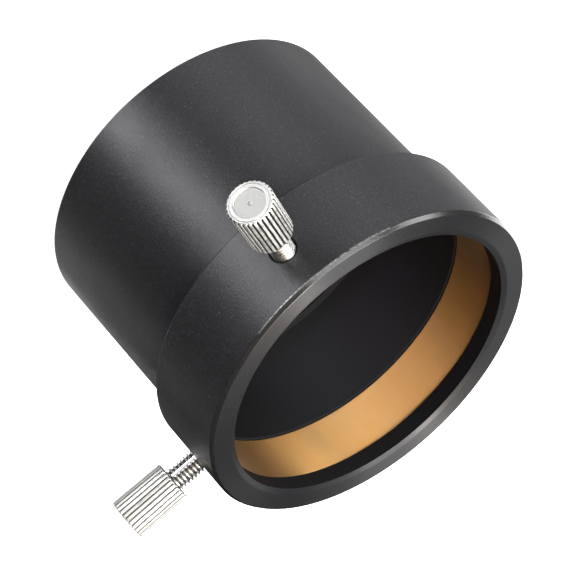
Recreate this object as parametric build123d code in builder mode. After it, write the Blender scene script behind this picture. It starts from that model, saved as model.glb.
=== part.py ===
"""Short two-inch Barlow holder: a barrel tube with the lens in its rear end, and an eyepiece
collar in front whose split brass ring is closed by two thumbscrews.

The frame has its origin at the centre of the rear face, +Z along the optical axis towards the
eyepiece, +X through thumbscrew A and +Y through thumbscrew B. All sizes are in millimetres.
"""

from build123d import *
import math
import os

# Clearances.
thread_gap = 0.05
seat_gap = 0.05
lens_gap = 0.05

# Eyepiece socket, for the standard two-inch (50.8 mm) eyepiece barrel.
eyepiece_barrel_radius = 25.4
socket_radius = eyepiece_barrel_radius + 0.1
socket_depth = 30.5

# Outside of the housing.
overall_length = 49.0
collar_length = 15.5
collar_radius = 30.0
tube_radius = 27.7
edge_chamfer = 0.3
mouth_chamfer_width = 0.9
mouth_chamfer_depth = 0.4
collar_rim_chamfer = 0.45
collar_rim_chamfer_length = 0.65
collar_back = overall_length - collar_length
stop_height = overall_length - socket_depth

# Split compression ring, in a groove between the collar's land and the barrel's spigot.
ring_front = 45.75
ring_length = 9.0
ring_inner_radius = 25.65
ring_outer_radius = 26.6
ring_gap_width = 3.0
ring_gap_azimuth = 45
ring_edge_chamfer = 0.15
ring_back = ring_front - ring_length
groove_front = ring_front + 0.1
groove_radius = 27.0
spigot_radius = groove_radius - thread_gap
spigot_front = ring_back - 0.1
spigot_mouth_chamfer = 0.35

# Thumbscrews: an M4 stud with a fluted knob on its outer end, set at half the ring's width.
screw_height = (ring_front + ring_back) / 2
stud_radius = 1.95
stud_hole_radius = stud_radius + thread_gap
stud_free_length = 8.0
stud_held_length = 6.0
stud_end_chamfer = 0.35
stud_hole_countersink = 0.4
knob_length = 9.5
knob_base_radius = 3.52
knob_end_radius = 3.68
knob_socket_radius = stud_radius + 0.05
knob_socket_depth = stud_held_length + 0.1
knob_rim_chamfer = 0.25
flute_count = 30
flute_radius = 0.28
flute_depth = 0.26
recess_radius = 2.5
recess_depth = 0.25
centre_mark_radius = 0.3
centre_mark_depth = 0.2
# Name, azimuth about the optical axis, and the height of the knob's base above that axis.
thumbscrews = [("a", 0, 35.45), ("b", 90, 34.95)]

# Female thread on the rear, for a two-inch, 24 turns per inch telescope thread.
rear_thread_radius = 24.85
rear_thread_length = 6.2
relief_radius = 26.0
web_back = 7.2

# Lens cell, screwed into the barrel's web from behind until its flange seats.
cell_radius = 23.95
cell_hole_radius = cell_radius + thread_gap
cell_flange_radius = 24.6
cell_back = 6.3
cell_front = stop_height - 0.4
cell_lip_thickness = 1.0
lens_opening_radius = 19.0
lens_radius = 20.0
lens_bore_radius = lens_radius + lens_gap
cell_slot_width = 2.0
cell_slot_depth = 0.6

# Air-spaced negative doublet: a biconcave crown in front of a meniscus flint.
lens_aperture_radius = 19.2
crown_front_curve = 90.0
shared_curve = 75.0
flint_back_curve = 200.0
crown_centre_thickness = 1.6
flint_edge_thickness = 1.2
cushion_inner_radius = 19.1
cushion_thickness = 0.4
spacer_inner_radius = 19.3
spacer_thickness = 0.5

# Ring that holds the lenses in the cell, turned with a spanner in its two slots.
retainer_radius = 20.6
retainer_length = 1.5
retainer_inner_radius = 19.0
retainer_bore_radius = retainer_radius + thread_gap
retainer_slot_width = 1.5
retainer_slot_depth = 0.7


def sag(curve, radius):
    """Depth of a spherical surface at this distance from its axis."""
    return curve - math.sqrt(curve**2 - radius**2)


def radial_plane(azimuth, radius):
    """Plane that faces outwards at this azimuth, this far from the optical axis."""
    direction = Vector(1, 0, 0).rotate(Axis.Z, azimuth)
    origin = direction * radius + Vector(0, 0, screw_height)
    return Plane(origin=origin, x_dir=(0, 0, 1), z_dir=direction)


def save(piece, label):
    """Label a finished piece and write it to its own STEP file."""
    piece.part.label = label
    export_step(piece.part, f"parts/{label}.step")


os.makedirs("parts", exist_ok=True)

# Heights of the lens stack, from the cell's front lip backwards.
cushion_front = cell_front - cell_lip_thickness
crown_front = cushion_front - cushion_thickness
crown_edge_thickness = (
    crown_centre_thickness
    + sag(crown_front_curve, lens_aperture_radius)
    + sag(shared_curve, lens_aperture_radius)
)
crown_back = crown_front - crown_edge_thickness
flint_front = crown_back - spacer_thickness
flint_back = flint_front - flint_edge_thickness
retainer_back = flint_back - retainer_length

# Barrel tube: spigot in front, eyepiece stop and web inside, threaded recess behind.
with BuildPart() as barrel_tube:
    with BuildSketch(Plane.XZ):
        with BuildLine():
            Polyline(
                (rear_thread_radius, 0),
                (tube_radius - edge_chamfer, 0),
                (tube_radius, edge_chamfer),
                (tube_radius, collar_back),
                (spigot_radius, collar_back),
                (spigot_radius, spigot_front),
                (socket_radius + spigot_mouth_chamfer, spigot_front),
                (socket_radius, spigot_front - spigot_mouth_chamfer),
                (socket_radius, stop_height),
                (cell_hole_radius, stop_height),
                (cell_hole_radius, web_back),
                (relief_radius, web_back),
                (relief_radius, rear_thread_length),
                (rear_thread_radius, rear_thread_length),
                close=True,
            )
        make_face()
    revolve(axis=Axis.Z)
save(barrel_tube, "barrel_tube")

# Eyepiece collar: front land, groove for the compression ring, two tapped screw holes.
with BuildPart() as eyepiece_collar:
    with BuildSketch(Plane.XZ):
        with BuildLine():
            Polyline(
                (groove_radius, collar_back),
                (collar_radius - edge_chamfer, collar_back),
                (collar_radius, collar_back + edge_chamfer),
                (collar_radius, overall_length - collar_rim_chamfer_length),
                (collar_radius - collar_rim_chamfer, overall_length),
                (socket_radius + mouth_chamfer_width, overall_length),
                (socket_radius, overall_length - mouth_chamfer_depth),
                (socket_radius, groove_front),
                (groove_radius, groove_front),
                close=True,
            )
        make_face()
    revolve(axis=Axis.Z)
    for _, azimuth, _ in thumbscrews:
        with BuildSketch(radial_plane(azimuth, socket_radius)):
            Circle(stud_hole_radius)
        extrude(amount=collar_radius, mode=Mode.SUBTRACT)
        with BuildSketch(radial_plane(azimuth, collar_radius)):
            Circle(stud_hole_radius + stud_hole_countersink)
        extrude(amount=-stud_hole_countersink, taper=45, mode=Mode.SUBTRACT)
save(eyepiece_collar, "eyepiece_collar")

# Compression ring: a thin brass band with a gap, so that the screws can close it.
with BuildPart() as compression_ring:
    with BuildSketch(Plane.XY.offset(ring_back)):
        Circle(ring_outer_radius)
        Circle(ring_inner_radius, mode=Mode.SUBTRACT)
    extrude(amount=ring_length)
    chamfer(compression_ring.edges().filter_by(GeomType.CIRCLE), length=ring_edge_chamfer)
    with BuildSketch(Plane.XY.offset(ring_back).rotated((0, 0, ring_gap_azimuth))):
        Rectangle(2 * ring_outer_radius, ring_gap_width, align=(Align.MIN, Align.CENTER))
    extrude(amount=ring_length, mode=Mode.SUBTRACT)
save(compression_ring, "compression_ring")

for letter, azimuth, base_height in thumbscrews:
    # Stud: its inner end presses on the compression ring, its outer end is held in the knob.
    with BuildPart() as stud:
        with BuildSketch(radial_plane(azimuth, base_height - stud_free_length)):
            Circle(stud_radius)
        extrude(amount=stud_free_length + stud_held_length)
        chamfer(stud.edges().filter_by(GeomType.CIRCLE), length=stud_end_chamfer)
    save(stud, f"thumbscrew_{letter}_stud")

    # Knob: slightly wider at its outer end, fluted all round, with a recessed end face.
    base_plane = radial_plane(azimuth, base_height)
    end_plane = base_plane.offset(knob_length)
    with BuildPart(base_plane) as knob:
        Cone(
            bottom_radius=knob_base_radius,
            top_radius=knob_end_radius,
            height=knob_length,
            align=(Align.CENTER, Align.CENTER, Align.MIN),
        )
        chamfer(knob.edges().filter_by(GeomType.CIRCLE), length=knob_rim_chamfer)
        flute_centre = (knob_base_radius + knob_end_radius) / 2 - flute_depth + flute_radius
        with BuildSketch(base_plane):
            with PolarLocations(flute_centre, flute_count):
                Circle(flute_radius)
        extrude(amount=knob_length, mode=Mode.SUBTRACT)
        with BuildSketch(base_plane):
            Circle(knob_socket_radius)
        extrude(amount=knob_socket_depth, mode=Mode.SUBTRACT)
        with BuildSketch(end_plane):
            Circle(recess_radius)
        extrude(amount=-recess_depth, mode=Mode.SUBTRACT)
        with BuildSketch(end_plane.offset(-recess_depth)):
            Circle(centre_mark_radius)
        extrude(amount=-centre_mark_depth, taper=30, mode=Mode.SUBTRACT)
    save(knob, f"thumbscrew_{letter}_knob")

# Lens cell: threaded body, rear flange with spanner slots, front lip, stepped bore.
with BuildPart() as lens_cell:
    with BuildSketch(Plane.XZ):
        with BuildLine():
            Polyline(
                (retainer_bore_radius, cell_back),
                (cell_flange_radius, cell_back),
                (cell_flange_radius, web_back),
                (cell_radius, web_back),
                (cell_radius, cell_front),
                (lens_opening_radius + cell_lip_thickness / 2, cell_front),
                (lens_opening_radius, cushion_front),
                (lens_bore_radius, cushion_front),
                (lens_bore_radius, flint_back),
                (retainer_bore_radius, flint_back),
                close=True,
            )
        make_face()
    revolve(axis=Axis.Z)
    with BuildSketch(Plane.XY.offset(cell_back)):
        Rectangle(2 * cell_flange_radius, cell_slot_width)
    extrude(amount=cell_slot_depth, mode=Mode.SUBTRACT)
save(lens_cell, "lens_cell")

# Cushion ring: soft seat between the cell's lip and the crown element.
with BuildPart() as lens_cushion_ring:
    with BuildSketch(Plane.XY.offset(crown_front)):
        Circle(lens_radius)
        Circle(cushion_inner_radius, mode=Mode.SUBTRACT)
    extrude(amount=cushion_thickness)
save(lens_cushion_ring, "lens_cushion_ring")

# Crown element: biconcave, with a flat seat round each face.
crown_front_centre = crown_front - sag(crown_front_curve, lens_aperture_radius)
crown_back_centre = crown_back + sag(shared_curve, lens_aperture_radius)
with BuildPart() as crown_element:
    with BuildSketch(Plane.XZ):
        with BuildLine():
            Line((0, crown_front_centre), (0, crown_back_centre))
            TangentArc((0, crown_back_centre), (lens_aperture_radius, crown_back), tangent=(1, 0))
            Polyline(
                (lens_aperture_radius, crown_back),
                (lens_radius, crown_back),
                (lens_radius, crown_front),
                (lens_aperture_radius, crown_front),
            )
            TangentArc((0, crown_front_centre), (lens_aperture_radius, crown_front), tangent=(1, 0))
        make_face()
    revolve(axis=Axis.Z)
save(crown_element, "crown_element")

# Lens spacer: thin ring that holds the two elements apart.
with BuildPart() as lens_spacer:
    with BuildSketch(Plane.XY.offset(flint_front)):
        Circle(lens_radius)
        Circle(spacer_inner_radius, mode=Mode.SUBTRACT)
    extrude(amount=spacer_thickness)
save(lens_spacer, "lens_spacer")

# Flint element: a meniscus that follows the crown's rear curve.
flint_front_centre = flint_front + sag(shared_curve, lens_aperture_radius)
flint_back_centre = flint_back + sag(flint_back_curve, lens_aperture_radius)
with BuildPart() as flint_element:
    with BuildSketch(Plane.XZ):
        with BuildLine():
            Line((0, flint_front_centre), (0, flint_back_centre))
            TangentArc((0, flint_back_centre), (lens_aperture_radius, flint_back), tangent=(1, 0))
            Polyline(
                (lens_aperture_radius, flint_back),
                (lens_radius, flint_back),
                (lens_radius, flint_front),
                (lens_aperture_radius, flint_front),
            )
            TangentArc((0, flint_front_centre), (lens_aperture_radius, flint_front), tangent=(1, 0))
        make_face()
    revolve(axis=Axis.Z)
save(flint_element, "flint_element")

# Lens retaining ring: screwed into the cell from behind, with two spanner slots.
with BuildPart() as lens_retaining_ring:
    with BuildSketch(Plane.XY.offset(retainer_back)):
        Circle(retainer_radius)
        Circle(retainer_inner_radius, mode=Mode.SUBTRACT)
    extrude(amount=retainer_length)
    with BuildSketch(Plane.XY.offset(retainer_back)):
        Rectangle(2 * retainer_radius, retainer_slot_width)
    extrude(amount=retainer_slot_depth, mode=Mode.SUBTRACT)
save(lens_retaining_ring, "lens_retaining_ring")
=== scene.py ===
import math

import bmesh
import bpy
import numpy as np
from mathutils import Matrix, Vector


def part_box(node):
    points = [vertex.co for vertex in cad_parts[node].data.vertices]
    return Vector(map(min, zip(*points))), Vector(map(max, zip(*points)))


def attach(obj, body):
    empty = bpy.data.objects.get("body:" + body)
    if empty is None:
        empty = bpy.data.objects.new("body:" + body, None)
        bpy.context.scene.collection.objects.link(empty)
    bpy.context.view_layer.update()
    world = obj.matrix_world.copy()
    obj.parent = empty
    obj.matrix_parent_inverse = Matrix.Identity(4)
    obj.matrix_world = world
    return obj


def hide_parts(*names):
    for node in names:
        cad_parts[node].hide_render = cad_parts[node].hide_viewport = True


# Short two-inch Barlow holder, standing on its rear face. Profiles are in millimetres, as
# (radius, height) about the optical axis, and meshes are in metres in the CAD frame.

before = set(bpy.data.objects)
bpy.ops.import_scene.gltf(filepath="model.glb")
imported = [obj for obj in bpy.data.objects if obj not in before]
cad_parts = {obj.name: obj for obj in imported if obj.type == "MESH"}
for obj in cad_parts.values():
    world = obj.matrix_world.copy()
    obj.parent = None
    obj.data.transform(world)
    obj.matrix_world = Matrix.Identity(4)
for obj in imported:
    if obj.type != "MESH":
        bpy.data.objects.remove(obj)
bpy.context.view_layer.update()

MM = 0.001
# Columns of faces round a large turned piece, a lens or thin ring, and a stud.
RING_COLUMNS = 256
LENS_COLUMNS = 192
STUD_COLUMNS = 96
# Gap from the end of a rounded edge to the points that keep the faces beside it flat.
SUPPORT = 0.03
ROUND_STEPS = 4
THREAD_ROWS = 16
SHARP_ANGLE = math.radians(35)
THREAD_SHARP_ANGLE = math.radians(85)


def box_mm(node):
    """Lowest and highest corner of a CAD node, in millimetres."""
    low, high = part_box(node)
    return low / MM, high / MM


# Sizes read from the CAD frame.
tube_high = box_mm("barrel_tube")[1]
collar_low, collar_high = box_mm("eyepiece_collar")
brass_low, brass_high = box_mm("compression_ring")
cell_low, cell_high = box_mm("lens_cell")
retainer_low, retainer_high = box_mm("lens_retaining_ring")
cushion_low, cushion_high = box_mm("lens_cushion_ring")
crown_low, crown_high = box_mm("crown_element")
flint_low = box_mm("flint_element")[0]
spacer_low, spacer_high = box_mm("lens_spacer")
stud_low, stud_high = box_mm("thumbscrew_a_stud")
knob_a_base = box_mm("thumbscrew_a_knob")[0].x
knob_b_base = box_mm("thumbscrew_b_knob")[0].y
tube_radius = tube_high.x
collar_radius = collar_high.x
collar_back = collar_low.z
mouth_height = collar_high.z
spigot_front = tube_high.z
screw_height = (stud_low.z + stud_high.z) / 2

# Sizes that the boxes do not give.
socket_radius = 25.5
socket_stop = 18.5
land_back = brass_high.z + 0.1
groove_radius = 27.0
spigot_radius = 26.95
rear_thread_radius = 24.85
rear_thread_depth = 0.6
rear_thread_length = 6.2
rear_thread_pitch = 25.4 / 24
relief_radius = 26.0
web_back = 7.2
web_hole_radius = 24.0
cell_radius = 23.95
ring_inner_radius = 25.65
ring_outer_radius = 26.6
ring_gap_width = 3.0
ring_gap_azimuth = 45
lens_radius = 20.0
lens_bore_radius = 20.05
lens_aperture_radius = 19.2
lens_opening_radius = 19.0
retainer_bore_radius = 20.65
spacer_inner_radius = 19.3
cushion_inner_radius = 19.1
crown_front_curve = 90.0
shared_curve = 75.0
flint_back_curve = 200.0
flint_edge_thickness = 1.2
flint_front = flint_low.z + flint_edge_thickness
knob_base_radius = 3.52
knob_end_radius = 3.68
flute_count = 30
flute_columns = 14
flute_depth = 0.27
stud_hole_radius = 2.0
stud_major_radius = 1.95
stud_minor_radius = 1.56
stud_pitch = 0.7
stud_free_length = 8.0


# ---------------------------------------------------------------- mesh helpers


def smoothstep(x):
    """Ease from 0 to 1 as x does, level at both ends."""
    x = np.clip(x, 0, 1)
    return x * x * (3 - 2 * x)


def rounded(corners, closed=True):
    """Profile rows from (radius, height, round) corners: each round becomes a short arc with a
    support point on either side, so that flat faces shade flat up to the arc."""
    rows = []
    count = len(corners)
    for index, (radius, height, fillet) in enumerate(corners):
        open_end = not closed and index in (0, count - 1)
        if fillet == 0 or open_end:
            rows.append((radius, height))
            continue
        corner = Vector((radius, height))
        towards_last = (Vector(corners[index - 1][:2]) - corner).normalized()
        towards_next = (Vector(corners[(index + 1) % count][:2]) - corner).normalized()
        half_angle = towards_last.angle(towards_next) / 2
        reach = fillet / math.tan(half_angle)
        centre = corner + (towards_last + towards_next).normalized() * fillet / math.sin(half_angle)
        start = corner + towards_last * reach
        end = corner + towards_next * reach
        rows.append(tuple(start + towards_last * SUPPORT))
        for step in range(ROUND_STEPS + 1):
            spoke = (start - centre).lerp(end - centre, step / ROUND_STEPS).normalized()
            rows.append(tuple(centre + spoke * fillet))
        rows.append(tuple(end + towards_next * SUPPORT))
    return rows


def plain(rows):
    """Rows that carry no relief, as (radius, height, relief depth)."""
    return [(radius, height, 0.0) for radius, height in rows]


def threaded(radius, start, end, depth, pitch, fade):
    """Rows of a thread: relief depth swells over the fade length at each end."""
    count = max(2, round(abs(end - start) / pitch * THREAD_ROWS))
    rows = []
    for step in range(count + 1):
        height = start + (end - start) * step / count
        edge = min(abs(height - start), abs(end - height)) / fade
        rows.append((radius, height, depth * float(smoothstep(edge))))
    return rows


def thread_relief(pitch):
    """Helical relief of a sixty-degree thread with flat crests and roots, from 0 to 1."""
    flat = 0.1

    def relief(turn, height):
        phase = (height / pitch - turn) % 1.0
        return smoothstep((1 - np.abs(2 * phase - 1) - flat) / (1 - 2 * flat))

    return relief


def link_mesh(name, vertices, faces, materials, sharp_angle=SHARP_ANGLE):
    """Object from vertices in millimetres, smooth shaded but for edges sharper than the angle."""
    mesh = bpy.data.meshes.new(name)
    mesh.from_pydata((np.asarray(vertices) * MM).tolist(), [], faces)
    same_place = 1e-7
    work = bmesh.new()
    work.from_mesh(mesh)
    bmesh.ops.remove_doubles(work, verts=work.verts, dist=same_place)
    bmesh.ops.recalc_face_normals(work, faces=work.faces)
    work.to_mesh(mesh)
    work.free()
    for finish in materials:
        mesh.materials.append(finish)
    mesh.polygons.foreach_set("use_smooth", [True] * len(mesh.polygons))
    mesh.set_sharp_from_angle(angle=sharp_angle)
    piece = bpy.data.objects.new(name, mesh)
    bpy.context.scene.collection.objects.link(piece)
    return piece


def lathe(name, rows, materials, columns=RING_COLUMNS, closed=True, relief=None,
          sharp_angle=SHARP_ANGLE):
    """Turn (radius, height, relief depth) rows about +Z. A row of radius 0 at either end is a
    pole, and a closed profile joins its last row to its first. The relief is a function of the
    share of a turn and of the height."""
    turn = np.arange(columns) / columns
    vertices, starts = [], []
    for radius, height, depth in rows:
        starts.append(len(vertices))
        if radius == 0:
            vertices.append((0.0, 0.0, height))
            continue
        reach = radius + (depth * relief(turn, height) if depth else 0 * turn)
        angle = 2 * math.pi * turn
        ring = np.stack([reach * np.cos(angle), reach * np.sin(angle), height + 0 * turn], 1)
        vertices.extend(map(tuple, ring))
    faces = []
    pairs = list(zip(range(len(rows) - 1), range(1, len(rows))))
    if closed:
        pairs.append((len(rows) - 1, 0))
    for low, high in pairs:
        a, b = starts[low], starts[high]
        for column in range(columns):
            after = (column + 1) % columns
            if rows[low][0] == 0:
                faces.append((a, b + column, b + after))
            elif rows[high][0] == 0:
                faces.append((a + column, a + after, b))
            else:
                faces.append((a + column, a + after, b + after, b + column))
    return link_mesh(name, vertices, faces, materials, sharp_angle)


def split_ring(name, corners, materials, gap_width, gap_azimuth):
    """Turned band with a gap, its two end faces eased inwards like a filed edge."""
    end_round = 0.12
    outline = np.array(rounded(corners))
    middle = outline.mean(0)
    mean_radius = middle[0]
    half_gap = math.asin(gap_width / 2 / mean_radius)
    start = math.radians(gap_azimuth) + half_gap
    sweep = 2 * math.pi - 2 * half_gap
    ease = end_round / mean_radius
    # Angle from the end of the band, and how far the outline is drawn in there.
    stations = [(0.0, end_round), (ease * 0.3, end_round * 0.3), (ease, 0.0), (ease * 1.3, 0.0)]
    body = [(sweep * step / RING_COLUMNS, 0.0) for step in range(2, RING_COLUMNS - 1)]
    tail = [(sweep - angle, inset) for angle, inset in reversed(stations)]
    vertices, count = [], len(outline)
    for angle, inset in stations + body + tail:
        half_size = (outline.max(0) - outline.min(0)) / 2
        drawn = middle + (outline - middle) * (1 - inset / half_size)
        turned = start + angle
        for radius, height in drawn:
            vertices.append((radius * math.cos(turned), radius * math.sin(turned), height))
    slices = len(stations + body + tail)
    faces = [tuple(range(count))]
    for part in range(slices - 1):
        for row in range(count):
            after = (row + 1) % count
            faces.append((part * count + row, part * count + after,
                          (part + 1) * count + after, (part + 1) * count + row))
    faces.append(tuple(range((slices - 1) * count, slices * count)))
    return link_mesh(name, vertices, faces, materials)


def cut(piece, cutter):
    """Subtract cutter from piece for good, and delete the cutter."""
    boolean = piece.modifiers.new("cut", "BOOLEAN")
    boolean.operation = "DIFFERENCE"
    boolean.solver = "EXACT"
    boolean.object = cutter
    bpy.context.view_layer.update()
    shaped = piece.evaluated_get(bpy.context.evaluated_depsgraph_get())
    mesh = bpy.data.meshes.new_from_object(shaped)
    piece.modifiers.remove(boolean)
    piece.data = mesh
    mesh.polygons.foreach_set("use_smooth", [True] * len(mesh.polygons))
    mesh.set_sharp_from_angle(angle=SHARP_ANGLE)
    bpy.data.objects.remove(cutter)


def block(name, low, high):
    """Cutter with corners in millimetres."""
    spans = list(zip(low, high))
    corners = [(x, y, z) for x in spans[0] for y in spans[1] for z in spans[2]]
    faces = [(0, 1, 3, 2), (4, 6, 7, 5), (0, 4, 5, 1), (2, 3, 7, 6), (0, 2, 6, 4), (1, 5, 7, 3)]
    return link_mesh(name, corners, faces, [])


def radial_matrix(azimuth, radius, height):
    """Places a piece modelled about +Z so that it points outwards at this azimuth."""
    turn = Matrix.Rotation(math.radians(azimuth), 4, "Z")
    lay_down = Matrix.Rotation(math.radians(90), 4, "Y")
    return turn @ Matrix.Translation(Vector((radius, 0, height)) * MM) @ lay_down


def from_axis(point):
    """Distance from the local Z axis."""
    return math.hypot(point.x, point.y)


def paint_faces(piece, slot_index, chosen):
    """Give material slot_index to each face for which chosen(centre in mm, normal) holds."""
    for face in piece.data.polygons:
        if chosen(face.center / MM, face.normal):
            face.material_index = slot_index


def install(piece, body, node):
    """Let a piece stand for a CAD node and ride on its body."""
    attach(piece, body)
    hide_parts(node)
    return piece


# ---------------------------------------------------------------- materials

# Most of a noise's values lie in this span.
NOISE_SPAN = (0.3, 0.7)


def add(tree, kind, settings=None, **inputs):
    """Add a node; settings are node properties, inputs are socket values by socket name."""
    node = tree.nodes.new(kind)
    for key, value in (settings or {}).items():
        setattr(node, key, value)
    for key, value in inputs.items():
        node.inputs[key.replace("_", " ")].default_value = value
    return node


def new_finish(name, color, metallic, roughness, **sockets):
    """Material with a Principled shader; returns the material, its tree and the shader."""
    finish = bpy.data.materials.new(name)
    finish.use_nodes = True
    tree = finish.node_tree
    shader = tree.nodes["Principled BSDF"]
    shader.inputs["Base Color"].default_value = (*color, 1)
    shader.inputs["Metallic"].default_value = metallic
    shader.inputs["Roughness"].default_value = roughness
    for key, value in sockets.items():
        shader.inputs[key.replace("_", " ")].default_value = value
    return finish, tree, shader


def place(tree, stretch=(1, 1, 1)):
    """Object coordinates, stretched along each axis."""
    coordinates = add(tree, "ShaderNodeTexCoord")
    mapping = add(tree, "ShaderNodeMapping", Scale=stretch)
    tree.links.new(coordinates.outputs["Object"], mapping.inputs["Vector"])
    return mapping.outputs["Vector"]


def noise(tree, vector, grain_mm, detail=2.0, rough=0.5):
    """Noise whose grains are about this many millimetres across."""
    texture = add(tree, "ShaderNodeTexNoise", Scale=1 / (grain_mm * MM), Detail=detail,
                  Roughness=rough)
    tree.links.new(vector, texture.inputs["Vector"])
    return texture.outputs["Fac"]


def line_noise(tree, value, grain_mm):
    """One-dimensional noise along a value in metres: the spacing of lathe marks."""
    texture = add(tree, "ShaderNodeTexNoise", {"noise_dimensions": "1D"},
                  Scale=1 / (grain_mm * MM), Detail=3.0, Roughness=0.6)
    tree.links.new(value, texture.inputs["W"])
    return texture.outputs["Fac"]


def axis_distance(tree):
    """Distance from the optical axis, and height along it, both in metres."""
    coordinates = add(tree, "ShaderNodeTexCoord")
    split = add(tree, "ShaderNodeSeparateXYZ")
    tree.links.new(coordinates.outputs["Object"], split.inputs["Vector"])
    flat = add(tree, "ShaderNodeCombineXYZ")
    tree.links.new(split.outputs["X"], flat.inputs["X"])
    tree.links.new(split.outputs["Y"], flat.inputs["Y"])
    length = add(tree, "ShaderNodeVectorMath", {"operation": "LENGTH"})
    tree.links.new(flat.outputs["Vector"], length.inputs[0])
    return length.outputs["Value"], split.outputs["Z"]


def spread(tree, value, span, result):
    """Map a value from a span to another one, clamped."""
    node = add(tree, "ShaderNodeMapRange", From_Min=span[0], From_Max=span[1],
               To_Min=result[0], To_Max=result[1])
    tree.links.new(value, node.inputs["Value"])
    return node.outputs["Result"]


def blend_colors(tree, share, first, second):
    """Colour between first and second; either may be a colour or another node's output."""
    node = tree.nodes.new("ShaderNodeMix")
    node.data_type = "RGBA"
    tree.links.new(share, node.inputs["Factor"])
    # Sockets 6 and 7 of a Mix node are its two colours.
    for socket, value in ((node.inputs[6], first), (node.inputs[7], second)):
        if isinstance(value, tuple):
            socket.default_value = (*value, 1)
        else:
            tree.links.new(value, socket)
    return node.outputs[2]


def vary_color(tree, shader, value, first, second, span=NOISE_SPAN):
    """Base colour that goes from first to second as the value crosses the span."""
    color = blend_colors(tree, spread(tree, value, span, (0, 1)), first, second)
    tree.links.new(color, shader.inputs["Base Color"])
    return color


def vary_roughness(tree, shader, value, result, span=NOISE_SPAN):
    """Roughness that goes between two values as the value crosses the span."""
    tree.links.new(spread(tree, value, span, result), shader.inputs["Roughness"])


def bump(tree, shader, height, strength, depth_mm, below=None):
    """Bump on the shader's normal, over another bump if one is given."""
    node = add(tree, "ShaderNodeBump", Strength=strength, Distance=depth_mm * MM)
    tree.links.new(height, node.inputs["Height"])
    if below is not None:
        tree.links.new(below.outputs["Normal"], node.inputs["Normal"])
    tree.links.new(node.outputs["Normal"], shader.inputs["Normal"])
    return node


def around_axis(tree, shader):
    """Lathe marks run round +Z, so the gloss spreads across them."""
    tangent = add(tree, "ShaderNodeTangent", {"direction_type": "RADIAL", "axis": "Z"})
    tree.links.new(tangent.outputs["Tangent"], shader.inputs["Tangent"])
    quarter_turn = 0.25
    shader.inputs["Anisotropic Rotation"].default_value = quarter_turn


def blasted_anodising():
    """Bead-blasted black anodising: fine speckle, pale flecks, slightly uneven gloss."""
    finish, tree, shader = new_finish(
        "blasted_anodising", (0.02, 0.02, 0.022), 0.0, 0.42,
        Specular_IOR_Level=0.75, Specular_Tint=(0.98, 0.985, 1.0, 1), Anisotropic=0.55)
    around_axis(tree, shader)
    here = place(tree)
    speckle = noise(tree, here, 0.26, detail=3, rough=0.7)
    cloud = noise(tree, here, 6.0, detail=3)
    flecks = noise(tree, here, 0.22, detail=1)
    color = vary_color(tree, shader, speckle, (0.009, 0.009, 0.011), (0.036, 0.036, 0.041))
    vary_color(tree, shader, flecks, color, (0.15, 0.15, 0.17), span=(0.66, 0.78))
    vary_roughness(tree, shader, cloud, (0.40, 0.46))
    bump(tree, shader, speckle, 0.6, 0.06)
    return finish


def turned_anodising():
    """Lathe-turned black anodising, with concentric marks on the collar's front face."""
    finish, tree, shader = new_finish(
        "turned_anodising", (0.013, 0.013, 0.014), 0.0, 0.44,
        Specular_IOR_Level=0.75, Specular_Tint=(0.98, 0.98, 1.0, 1), Anisotropic=0.93)
    around_axis(tree, shader)
    distance, _ = axis_distance(tree)
    marks = line_noise(tree, distance, 0.12)
    speckle = noise(tree, place(tree), 0.24, rough=0.6)
    vary_color(tree, shader, speckle, (0.007, 0.007, 0.008), (0.021, 0.021, 0.0235), span=(0.35, 0.65))
    below = bump(tree, shader, marks, 0.12, 0.01)
    bump(tree, shader, speckle, 0.3, 0.02, below)
    return finish


def chamfer_anodising():
    """Fine-turned black chamfer round the front face, glossier than the blasted wall."""
    finish, tree, shader = new_finish(
        "chamfer_anodising", (0.014, 0.014, 0.015), 0.0, 0.23,
        Specular_IOR_Level=1.0, Anisotropic=0.3)
    around_axis(tree, shader)
    speckle = noise(tree, place(tree), 0.3, detail=3, rough=0.7)
    vary_color(tree, shader, speckle, (0.011, 0.011, 0.012), (0.024, 0.024, 0.026))
    vary_roughness(tree, shader, speckle, (0.20, 0.26))
    bump(tree, shader, speckle, 0.4, 0.03)
    return finish


def worn_glint_edge():
    """Edge where handling has rubbed the anodising through to bare aluminium in places; the bright
    bare metal is partly wear and partly a painted highlight.
    """
    finish, tree, shader = new_finish(
        "worn_glint_edge", (0.1, 0.1, 0.1), 0.0, 0.32, Specular_IOR_Level=0.75)
    rub_glint = noise(tree, place(tree), 0.45, detail=4, rough=0.75)
    bare_glint_span = (0.41, 0.55)
    vary_color(tree, shader, rub_glint, (0.02, 0.02, 0.022), (0.50, 0.50, 0.52), span=bare_glint_span)
    tree.links.new(spread(tree, rub_glint, bare_glint_span, (0, 1)), shader.inputs["Metallic"])
    vary_roughness(tree, shader, rub_glint, (0.36, 0.26))
    bump(tree, shader, rub_glint, 0.3, 0.03)
    return finish


def bore_anodising():
    """Matt black anodising of the inner walls, with faint tool marks round the bore."""
    finish, tree, shader = new_finish(
        "bore_anodising", (0.010, 0.010, 0.012), 0.0, 0.5,
        Specular_IOR_Level=0.4, Anisotropic=0.7)
    around_axis(tree, shader)
    _, height = axis_distance(tree)
    marks = line_noise(tree, height, 0.2)
    speckle = noise(tree, place(tree), 0.2)
    vary_color(tree, shader, speckle, (0.006, 0.0065, 0.0075), (0.012, 0.0130, 0.0150))
    below = bump(tree, shader, marks, 0.1, 0.01)
    bump(tree, shader, speckle, 0.2, 0.015, below)
    return finish


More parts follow.
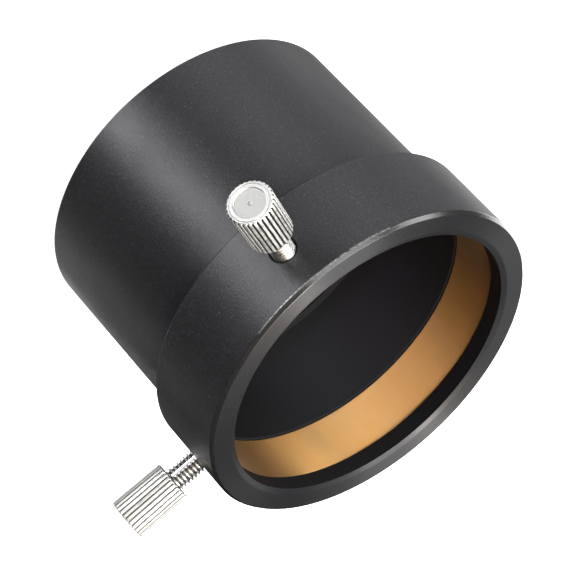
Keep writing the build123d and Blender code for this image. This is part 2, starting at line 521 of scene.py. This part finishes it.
def painted_shade_anodising():
    """Painted shade: a deeper, matt black for the narrow land inside the mouth and for edges in deep
    shade.
    """
    finish, tree, shader = new_finish(
        "painted_shade_anodising", (0.008, 0.008, 0.009), 0.0, 0.75, Specular_IOR_Level=0.15)
    _, height = axis_distance(tree)
    marks = line_noise(tree, height, 0.2)
    vary_color(tree, shader, marks, (0.006, 0.006, 0.007), (0.010, 0.010, 0.012))
    bump(tree, shader, marks, 0.1, 0.01)
    return finish


def satin_brass():
    """Turned satin brass, its lathe marks running round the ring, with a random patina and a band of
    painted shade across it.
    """
    finish, tree, shader = new_finish(
        "satin_brass", (0.95, 0.58, 0.24), 1.0, 0.55, Anisotropic=0.8)
    around_axis(tree, shader)
    _, height = axis_distance(tree)
    marks = line_noise(tree, height, 0.15)
    patina = noise(tree, place(tree, (1, 1, 0.4)), 5.0, detail=4)
    color = vary_color(tree, shader, patina, (0.97, 0.60, 0.24), (0.86, 0.50, 0.18), span=(0.35, 0.75))
    # Painted shade, darker and duller: the band swells over the first span of X and fades over the
    # second, both in metres.
    split = add(tree, "ShaderNodeSeparateXYZ")
    tree.links.new(place(tree), split.inputs["Vector"])
    band = add(tree, "ShaderNodeMath", {"operation": "MULTIPLY"})
    tree.links.new(spread(tree, split.outputs["X"], (-0.017, -0.008), (0, 1)), band.inputs[0])
    tree.links.new(spread(tree, split.outputs["X"], (-0.004, 0.006), (1, 0)), band.inputs[1])
    vary_color(tree, shader, band.outputs["Value"], color, (0.58, 0.44, 0.27), span=(0, 1))
    vary_roughness(tree, shader, patina, (0.50, 0.60))
    bump(tree, shader, marks, 0.15, 0.01)
    return finish


def bright_nickel(name, roughness, shade, dull=0.92, blue=0.985):
    """Bright nickel plate with a soft orange-peel and tiny dull spots."""
    bright_color = (shade, shade, shade * blue)
    dull_color = (shade * dull, shade * dull, shade * dull * 0.97)
    finish, tree, shader = new_finish(name, bright_color, 1.0, roughness)
    here = place(tree)
    peel = noise(tree, here, 0.5, detail=3)
    spots = noise(tree, here, 0.12, rough=0.7)
    vary_color(tree, shader, spots, dull_color, bright_color, span=(0.35, 0.6))
    vary_roughness(tree, shader, peel, (roughness * 0.8, roughness * 1.4))
    bump(tree, shader, peel, 0.03, 0.01)
    return finish


def lens_glass():
    """Polished glass with a thin violet antireflection coat and faint smears."""
    finish, tree, shader = new_finish(
        "coated_glass", (0.97, 1.0, 0.98), 0.0, 0.0, IOR=1.52, Transmission_Weight=1.0,
        Coat_Weight=0.35, Coat_Roughness=0.02, Coat_IOR=1.38, Coat_Tint=(0.75, 0.6, 1.0, 1))
    smear = noise(tree, place(tree), 8.0, detail=4)
    vary_roughness(tree, shader, smear, (0.0, 0.025), span=(0.45, 0.8))
    return finish


def edge_black(name, grain_mm, roughness):
    """Matt black of blackened glass edges and the rubber cushion."""
    finish, tree, shader = new_finish(name, (0.01, 0.01, 0.01), 0.0, roughness)
    grain = noise(tree, place(tree), grain_mm, detail=3)
    vary_color(tree, shader, grain, (0.006, 0.006, 0.006), (0.02, 0.02, 0.021), span=(0, 1))
    bump(tree, shader, grain, 0.3, 0.02)
    return finish


def studio_paper():
    """Pale translucent floor, lit evenly from beneath, with the faintest tooth."""
    finish, tree, shader = new_finish("studio_paper", (0.9, 0.9, 0.9), 0.0, 0.9,
                                      Emission_Color=(1, 1, 1, 1), Emission_Strength=0.9)
    tooth = noise(tree, place(tree), 1.2)
    vary_color(tree, shader, tooth, (0.9, 0.9, 0.9), (0.93, 0.93, 0.93), span=(0, 1))
    return finish


OUTER = blasted_anodising()
TURNED = turned_anodising()
BORE = bore_anodising()
SHADE_BLACK = painted_shade_anodising()
BRASS = satin_brass()
CHAMFER = chamfer_anodising()
WORN_GLINT = worn_glint_edge()
KNOB_NICKEL = bright_nickel("knob_nickel", 0.50, 0.97)
FLUTE_SHADE_NICKEL = bright_nickel("flute_painted_shade", 0.50, 0.08)
LIT_FLUTE_SHADE_NICKEL = bright_nickel("lit_flute_painted_shade", 0.50, 0.30)
RIM_NICKEL = bright_nickel("rim_nickel", 0.40, 0.86)
DISC_NICKEL = bright_nickel("disc_nickel", 0.42, 0.68, dull=0.80, blue=0.95)
STUD_NICKEL = bright_nickel("stud_nickel", 0.30, 0.92)
GLASS = lens_glass()
GLASS_EDGE = edge_black("blackened_edge", 0.2, 0.7)
RUBBER = edge_black("black_rubber", 0.1, 0.85)


# ---------------------------------------------------------------- housing

# Each make function names the material slots of its piece. Slot 0 is what paint_faces leaves.


def make_barrel_tube():
    """Tube with a true female thread in its rear, a web with the eyepiece stop, and the spigot."""
    _, inside, end_face, shade = range(4)
    thread_ease = 0.4
    rear_chamfer = 0.3
    spigot_chamfer = 0.35
    outside = rounded([
        (relief_radius, web_back, 0.1),
        (web_hole_radius, web_back, 0.15),
        (web_hole_radius, socket_stop, 0.15),
        (socket_radius, socket_stop, 0.1),
        (socket_radius, spigot_front - spigot_chamfer, 0.05),
        (socket_radius + spigot_chamfer, spigot_front, 0.05),
        (spigot_radius, spigot_front, 0.1),
        (spigot_radius, collar_back, 0.0),
        (tube_radius, collar_back, 0.06),
        (tube_radius, rear_chamfer, 0.08),
        (tube_radius - rear_chamfer, 0.0, 0.08),
        (rear_thread_radius + thread_ease, 0.0, 0.06),
        (rear_thread_radius, thread_ease, 0.0),
    ], closed=False)
    thread = threaded(rear_thread_radius, thread_ease, rear_thread_length, rear_thread_depth,
                      rear_thread_pitch, rear_thread_pitch)
    undercut = [
        (rear_thread_radius, rear_thread_length + 0.01),
        (relief_radius, rear_thread_length + 0.3),
    ]
    tube = lathe("barrel_tube_body", plain(outside) + thread[1:] + plain(undercut),
                 [OUTER, BORE, TURNED, SHADE_BLACK], relief=thread_relief(rear_thread_pitch),
                 sharp_angle=THREAD_SHARP_ANGLE)
    inner = socket_radius + spigot_chamfer + 0.01
    rear_edge = 0.1
    paint_faces(tube, inside, lambda c, n: from_axis(c) < inner and c.z > rear_edge)
    paint_faces(tube, end_face, lambda c, n: c.z < rear_edge)
    # The stop, the spigot's chamfer and the rear chamfer lie in shade, so they get painted shade: the
    # deep matt black.
    stop_reach = 1.2
    paint_faces(tube, shade, lambda c, n: abs(c.z - socket_stop) < stop_reach)
    chamfer_start = spigot_front - spigot_chamfer - 0.03
    paint_faces(tube, shade, lambda c, n: c.z > chamfer_start and from_axis(c) < inner)
    chamfer_inside = tube_radius - rear_chamfer
    paint_faces(tube, shade, lambda c, n: 0.02 < c.z < 0.28 and from_axis(c) > chamfer_inside)
    return install(tube, "housing", "barrel_tube")


def stud_hole_cutter(azimuth):
    """Tapped hole with a small countersink, through the collar's wall."""
    depth = 6
    clear = 1
    sink_depth = 0.35
    # The sink's cone runs on a little past the wall, whose surface is curved.
    overshoot = 0.07
    sink_radius = stud_hole_radius + sink_depth + overshoot
    rows = [
        (0, -depth),
        (stud_hole_radius, -depth),
        (stud_hole_radius, -sink_depth),
        (sink_radius, overshoot),
        (sink_radius, clear),
        (0, clear),
    ]
    cutter = lathe("stud_hole_cutter", plain(rows), [], columns=STUD_COLUMNS, closed=False)
    cutter.matrix_world = radial_matrix(azimuth, collar_radius, screw_height)
    return cutter


def make_eyepiece_collar():
    """Collar: turned front face between two chamfers, short land, groove, tapped holes."""
    _, front_face, shade, rim, worn_glint = range(5)
    back_chamfer = 0.25
    rim_width, rim_depth = 0.45, 0.65
    mouth_width, mouth_depth = 0.9, 0.4
    rows = rounded([
        (groove_radius, collar_back, 0.0),
        (collar_radius - back_chamfer, collar_back, 0.08),
        (collar_radius, collar_back + back_chamfer, 0.08),
        (collar_radius, mouth_height - rim_depth, 0.3),
        (collar_radius - rim_width, mouth_height, 0.1),
        (socket_radius + mouth_width, mouth_height, 0.8),
        (socket_radius, mouth_height - mouth_depth, 0.06),
        (socket_radius, land_back, 0.06),
        (groove_radius, land_back, 0.0),
    ])
    collar = lathe("eyepiece_collar_body", plain(rows), [OUTER, TURNED, SHADE_BLACK, CHAMFER, WORN_GLINT])
    for azimuth in (0, 90):
        cut(collar, stud_hole_cutter(azimuth))
    face_start = mouth_height - mouth_depth
    paint_faces(collar, front_face, lambda c, n: c.z > face_start and n.z > 0.6)
    # Painted shade: the land inside the mouth and its back face over the ring's groove get the deep
    # matt black.
    inner = socket_radius + 0.03
    paint_faces(collar, shade, lambda c, n: from_axis(c) < inner)
    paint_faces(collar, shade, lambda c, n: n.z < -0.9 and c.z > collar_back + 1)
    rim_inside = collar_radius - rim_width - 0.05
    paint_faces(collar, rim, lambda c, n: 0.15 < n.z < 0.9 and from_axis(c) > rim_inside)
    # Handling has rubbed the rim's outer corner on the side of thumbscrew A; this bare strip, only on
    # that side, is partly wear and partly a painted highlight on the corner.
    worn_glint_half = 0.19
    worn_glint_height = mouth_height - rim_depth
    worn_glint_side = rim_inside * 0.9
    paint_faces(collar, worn_glint, lambda c, n: abs(c.z - worn_glint_height) < worn_glint_half and
                c.x > worn_glint_side and -14 < c.y < 11)
    # Painted shade: the walls and countersinks of the tapped holes get the deep matt black.
    hole_edge = stud_hole_radius + 0.4
    for along, across in ((0, 1), (1, 0)):
        paint_faces(collar, shade, lambda c, n: c[along] > groove_radius + 0.5 and n[along] < 0.9 and
                    math.hypot(c[across], c.z - screw_height) < hole_edge)
    return install(collar, "housing", "eyepiece_collar")


def make_compression_ring():
    """Split brass band with eased edges."""
    corners = [
        (ring_inner_radius, brass_low.z, 0.12),
        (ring_outer_radius, brass_low.z, 0.12),
        (ring_outer_radius, brass_high.z, 0.12),
        (ring_inner_radius, brass_high.z, 0.2),
    ]
    ring = split_ring("compression_ring_band", corners, [BRASS], ring_gap_width, ring_gap_azimuth)
    return install(ring, "ring", "compression_ring")


# ---------------------------------------------------------------- thumbscrews


def flute_relief(turn, height):
    """Straight flutes, the same at every height: round grooves between wider ridges."""
    across = (turn * flute_count) % 1.0 - 0.5
    groove_half_width = 0.23
    return -np.clip(1 - (across / groove_half_width) ** 2, 0, 1) ** 0.7


def knob_side(length, ease):
    """Rows of the tapered, fluted side, with both edges eased."""
    ease_shares = (0.0, 0.35, 0.7, 1.0)
    body_steps = 6
    end_flute_share = 0.15
    rows = []
    for share in ease_shares:
        drawn_in = ease * (1 - share) ** 1.5
        rows.append((knob_base_radius - drawn_in, ease * share, flute_depth * share))
    for step in range(1, body_steps):
        share = step / body_steps
        radius = knob_base_radius + (knob_end_radius - knob_base_radius) * share
        rows.append((radius, length * share, flute_depth))
    for share in reversed(ease_shares):
        drawn_in = ease * (1 - share) ** 1.5
        depth = flute_depth * (end_flute_share + (1 - end_flute_share) * share)
        rows.append((knob_end_radius - drawn_in, length - ease * share, depth))
    return rows


def make_knob(letter, azimuth, base_radius, flute_shade_finish):
    """Fluted knob about +Z: base at 0, recessed and grooved end face at its length."""
    _, flute, disc, rim = range(4)
    low, high = box_mm(f"thumbscrew_{letter}_knob")
    length = max(high - low)
    ease = 0.25
    socket_depth, socket_ease = 6.1, 0.15
    groove_outer, groove_inner, groove_slope, groove_depth = 3.24, 3.04, 0.05, 0.09
    disc_radius, disc_slope, disc_depth = 2.56, 0.12, 0.24
    dimple_radius, dimple_slope, dimple_depth = 0.36, 0.14, 0.05
    socket = [
        (0, socket_depth),
        (stud_hole_radius, socket_depth),
        (stud_hole_radius, socket_ease),
        (stud_hole_radius + socket_ease, 0.0),
        (knob_base_radius - ease - 0.12, 0.0),
    ]
    end_face = rounded([
        (knob_end_radius - ease - 0.03, length, 0.0),
        (groove_outer, length, 0.03),
        (groove_outer - groove_slope, length - groove_depth, 0.03),
        (groove_inner + groove_slope, length - groove_depth, 0.03),
        (groove_inner, length, 0.03),
        (disc_radius, length, 0.07),
        (disc_radius - disc_slope, length - disc_depth, 0.05),
        (dimple_radius, length - disc_depth, 0.04),
        (dimple_radius - dimple_slope, length - disc_depth - dimple_depth, 0.03),
        (0, length - disc_depth - dimple_depth - 0.01, 0.0),
    ], closed=False)
    knob = lathe(f"thumbscrew_{letter}_knurled_knob",
                 plain(socket) + knob_side(length, ease) + plain(end_face),
                 [KNOB_NICKEL, flute_shade_finish, DISC_NICKEL, RIM_NICKEL],
                 columns=flute_count * flute_columns, closed=False, relief=flute_relief)
    # Painted shade: the deeper part of each flute is painted dark, and so is the base.
    flute_floor = flute_depth * 0.4
    taper = (knob_end_radius - knob_base_radius) / length
    side_inside = knob_base_radius - 1
    paint_faces(knob, flute, lambda c, n: 0.2 < c.z < length - 0.2 and
                side_inside < from_axis(c) < knob_base_radius + taper * c.z - flute_floor)
    paint_faces(knob, flute, lambda c, n: c.z < 0.1 and n.z < -0.3)
    near_end = length - 0.5
    paint_faces(knob, rim, lambda c, n: from_axis(c) < knob_end_radius - ease and c.z > near_end)
    # The end groove gets the darker disc nickel as painted shade; the recessed disc is painted a
    # darker, mottled nickel.
    paint_faces(knob, disc, lambda c, n: c.z > near_end and
                groove_inner + 0.02 < from_axis(c) < groove_outer - 0.02)
    paint_faces(knob, disc, lambda c, n: c.z > near_end and
                from_axis(c) < disc_radius - disc_slope + 0.01)
    knob.matrix_world = radial_matrix(azimuth, base_radius, screw_height)
    return install(knob, f"knob_{letter}", f"thumbscrew_{letter}_knob")


def in_key_groove(turn):
    """Whether this share of a turn about the stud lies in the groove milled along its thread."""
    key_groove_turn = 0.733
    half_width = 0.4
    half_turn = half_width / (2 * math.pi * stud_minor_radius)
    return np.abs((turn - key_groove_turn + 0.5) % 1.0 - 0.5) < half_turn


def stud_relief(turn, height):
    """Stud thread, interrupted along the groove."""
    return thread_relief(stud_pitch)(turn, height) * (1 - in_key_groove(turn))


def make_stud(letter, azimuth, base_radius):
    """Threaded stud about +Z, from its domed tip to the end that the knob holds."""
    _, root = range(2)
    low, high = box_mm(f"thumbscrew_{letter}_stud")
    length = max(high - low)
    thread_start = 0.3
    thread_end = length - thread_start
    dome = [(0, 0.0), (1.1, 0.02), (1.38, 0.12)]
    held_end = [(1.4, length - 0.05), (0, length)]
    thread = threaded(stud_minor_radius, thread_start, thread_end,
                      stud_major_radius - stud_minor_radius, stud_pitch, fade=0.5)
    stud = lathe(f"thumbscrew_{letter}_threaded_stud", plain(dome) + thread + plain(held_end),
                 [STUD_NICKEL, FLUTE_SHADE_NICKEL], columns=STUD_COLUMNS, closed=False,
                 relief=stud_relief, sharp_angle=THREAD_SHARP_ANGLE)
    # Painted shade: the thread's roots are painted dark, but not the floor of the groove.
    root_radius = stud_minor_radius + 0.09
    paint_faces(stud, root, lambda c, n: from_axis(c) < root_radius and
                thread_start < c.z < thread_end and
                not in_key_groove(math.atan2(c.y, c.x) / (2 * math.pi)))
    stud.matrix_world = radial_matrix(azimuth, base_radius - stud_free_length, screw_height)
    return install(stud, f"stud_{letter}", f"thumbscrew_{letter}_stud")


# ---------------------------------------------------------------- optics


def cut_slots(ring, rear, outer_radius, half_width, depth):
    """Two spanner slots across the rear face of a ring."""
    reach = outer_radius + 1
    cut(ring, block("slot_cutter", (-reach, -half_width, rear - 1), (reach, half_width, rear + depth)))


def make_lens_cell():
    """Cell with rear flange, stepped bore, bevelled front lip and two spanner slots."""
    _, flange, front_lip = range(3)
    lip_back = cushion_high.z
    lip_bevel = 0.5
    rows = rounded([
        (retainer_bore_radius, cell_low.z, 0.1),
        (cell_high.x, cell_low.z, 0.15),
        (cell_high.x, web_back, 0.05),
        (cell_radius, web_back, 0.0),
        (cell_radius, cell_high.z, 0.2),
        (lens_opening_radius + lip_bevel, cell_high.z, 0.1),
        (lens_opening_radius, lip_back, 0.0),
        (lens_bore_radius, lip_back, 0.0),
        (lens_bore_radius, flint_low.z, 0.0),
        (retainer_bore_radius, flint_low.z, 0.0),
    ])
    cell = lathe("lens_cell_body", plain(rows), [BORE, TURNED, SHADE_BLACK])
    cut_slots(cell, cell_low.z, cell_high.x, half_width=1, depth=0.6)
    paint_faces(cell, flange, lambda c, n: n.z < -0.9)
    # Painted shade: the front lip, facing the mouth, gets the deep matt black.
    paint_faces(cell, front_lip, lambda c, n: n.z > 0.1)
    return install(cell, "housing", "lens_cell")


def make_retaining_ring():
    """Thin ring behind the flint, with two spanner slots."""
    _, flat = range(2)
    front_bevel = 0.3
    rows = rounded([
        (lens_opening_radius, retainer_low.z, 0.1),
        (retainer_high.x, retainer_low.z, 0.1),
        (retainer_high.x, retainer_high.z, 0.0),
        (lens_opening_radius + front_bevel, retainer_high.z, 0.0),
    ])
    ring = lathe("lens_retaining_ring_body", plain(rows), [BORE, TURNED])
    cut_slots(ring, retainer_low.z, retainer_high.x, half_width=0.75, depth=0.7)
    paint_faces(ring, flat, lambda c, n: abs(n.z) > 0.9)
    return install(ring, "housing", "lens_retaining_ring")


def sag(curve, radius):
    """Depth of a spherical surface at this distance from its axis."""
    return curve - math.sqrt(curve**2 - radius**2)


def curved_rows(curve, edge_height, direction):
    """Rows of a spherical face, from the axis to the clear aperture at the edge's height. The
    edge lies above the middle if the direction is 1, and below it if the direction is -1."""
    steps = 24
    rows = []
    for step in range(steps + 1):
        radius = lens_aperture_radius * step / steps
        rise = sag(curve, radius) - sag(curve, lens_aperture_radius)
        rows.append((radius, edge_height + direction * rise))
    return rows


def make_lens(name, node, back, front, back_face, front_face):
    """Glass element between two edge heights, from the curve and direction of its two faces,
    with a blackened edge."""
    _, blackened = range(2)
    rim = rounded([
        (lens_aperture_radius, back, 0.0),
        (lens_radius, back, 0.08),
        (lens_radius, front, 0.08),
        (lens_aperture_radius, front, 0.0),
    ], closed=False)
    back_rows = curved_rows(back_face[0], back, back_face[1])
    front_rows = curved_rows(front_face[0], front, front_face[1])
    rows = back_rows + rim[1:-1] + list(reversed(front_rows))
    lens = lathe(name, plain(rows), [GLASS, GLASS_EDGE], columns=LENS_COLUMNS, closed=False)
    edge_inside = lens_aperture_radius + 0.1
    paint_faces(lens, blackened, lambda c, n: from_axis(c) > edge_inside)
    return install(lens, "housing", node)


def make_thin_ring(name, node, low, high, inner, finish):
    """Flat ring such as the spacer or the cushion."""
    edge = (high.z - low.z) * 0.3
    rows = rounded([
        (inner, low.z, edge),
        (high.x, low.z, edge),
        (high.x, high.z, edge),
        (inner, high.z, edge),
    ])
    ring = lathe(name, plain(rows), [finish], columns=LENS_COLUMNS)
    return install(ring, "housing", node)


make_barrel_tube()
make_eyepiece_collar()
make_compression_ring()
make_lens_cell()
make_retaining_ring()
# A biconcave crown stands in front of a meniscus flint.
make_lens("crown_lens", "crown_element", crown_low.z, crown_high.z,
          (shared_curve, -1), (crown_front_curve, 1))
make_lens("flint_lens", "flint_element", flint_low.z, flint_front,
          (flint_back_curve, -1), (shared_curve, -1))
make_thin_ring("lens_spacer_ring", "lens_spacer", spacer_low, spacer_high,
               spacer_inner_radius, BORE)
make_thin_ring("lens_cushion_seal", "lens_cushion_ring", cushion_low, cushion_high,
               cushion_inner_radius, RUBBER)
# Painted shade in the flutes is darker on knob A than on knob B, as a shaded and a lit copy of one
# finish.
for letter, azimuth, base_radius, flute_shade_finish in (
        ("a", 0, knob_a_base, FLUTE_SHADE_NICKEL), ("b", 90, knob_b_base, LIT_FLUTE_SHADE_NICKEL)):
    make_knob(letter, azimuth, base_radius, flute_shade_finish)
    make_stud(letter, azimuth, base_radius)


# ---------------------------------------------------------------- stage, lights, camera

# The point that the camera and the lamps face.
AIM = Vector((-0.03, 1.39, 27.98)) * MM
LAMP_DISTANCE = 0.9
WARM = (1.0, 0.84, 0.66)
CREAM = (1.0, 0.95, 0.90)
WHITE = (1, 1, 1)
COOL = (0.97, 0.965, 1.0)


def towards(azimuth, elevation):
    """Unit vector that points this way from the object, in degrees from +X towards +Y and up."""
    a, e = math.radians(azimuth), math.radians(elevation)
    return Vector((math.cos(a) * math.cos(e), math.sin(a) * math.cos(e), math.sin(e)))


def softbox(name, azimuth, elevation, width, height, power, color=WHITE, distance=LAMP_DISTANCE):
    """Rectangular lamp that faces the object, its width level. Angles are in degrees, lengths in
    metres and power in watts. Those below the floor shine up through it, as on a light table."""
    lamp = bpy.data.lights.new(name, "AREA")
    lamp.shape = "RECTANGLE"
    lamp.size = width
    lamp.size_y = height
    lamp.energy = power
    lamp.color = color
    holder = bpy.data.objects.new(name, lamp)
    holder.location = AIM + towards(azimuth, elevation) * distance
    holder.visible_camera = False
    holder.rotation_euler = (-towards(azimuth, elevation)).to_track_quat("-Z", "Y").to_euler()
    bpy.context.scene.collection.objects.link(holder)


def make_stage():
    """Pale floor just under the rear face, and a very faint, even surround."""
    half = 1500
    height = -0.02
    corners = [(x * half, y * half, height) for x, y in ((-1, -1), (1, -1), (1, 1), (-1, 1))]
    floor = link_mesh("studio_floor", corners, [(0, 1, 2, 3)], [studio_paper()])
    floor.visible_glossy = False
    floor.visible_diffuse = False
    floor.visible_shadow = False
    world = bpy.data.worlds.new("studio")
    world.use_nodes = True
    background = world.node_tree.nodes["Background"]
    background.inputs["Color"].default_value = (*WHITE, 1)
    background.inputs["Strength"].default_value = 0.01
    bpy.context.scene.world = world


def make_camera():
    """Long lens, looking down on the mouth and rolled well over."""
    azimuth, elevation, roll = 3.57, 32.27, 137.46
    distance = 0.4313
    camera = bpy.data.cameras.new("camera")
    camera.sensor_width = 36
    camera.lens = 169.3
    camera.clip_start = 0.01
    holder = bpy.data.objects.new("camera", camera)
    back = towards(azimuth, elevation)
    right = Vector((-math.sin(math.radians(azimuth)), math.cos(math.radians(azimuth)), 0))
    up = back.cross(right)
    turn = Matrix((right, up, back)).transposed() @ Matrix.Rotation(math.radians(roll), 3, "Z")
    holder.matrix_world = Matrix.Translation(AIM + back * distance) @ turn.to_4x4()
    bpy.context.scene.collection.objects.link(holder)
    bpy.context.scene.camera = holder


make_stage()
softbox("right_high", 313, 60, 0.42, 0.42, 4.6)
softbox("right_top", 272, 70, 0.20, 0.30, 2.4)
softbox("left_high", 40, 62, 0.42, 0.36, 3.0, WARM)
softbox("overhead", 2, 83, 0.14, 0.30, 8.0, CREAM)
softbox("rim_strip", 332, 37, 0.70, 0.12, 1.6)
softbox("right_low", 285, 15, 0.38, 0.40, 2.8)
softbox("back_low", 208, 23, 0.12, 0.09, 0.045, distance=0.25)
softbox("back_high", 166, 58, 0.28, 0.36, 0.72)
softbox("under_front", 16, -34, 0.22, 0.70, 4.3, COOL)
softbox("under_left", 121, -53, 0.15, 0.20, 0.095, distance=0.3)
softbox("under_far", 174, -50, 0.60, 0.50, 2.2)
softbox("under_knob", 190, -60, 0.30, 0.25, 0.45)
softbox("under_back", 220, -12, 0.60, 0.40, 3.2)
softbox("under_right", 310, -35, 0.60, 0.35, 1.1)
softbox("under_low", 246, -45, 0.55, 0.40, 0.8)
make_camera()
bpy.context.scene.view_settings.view_transform = "Standard"
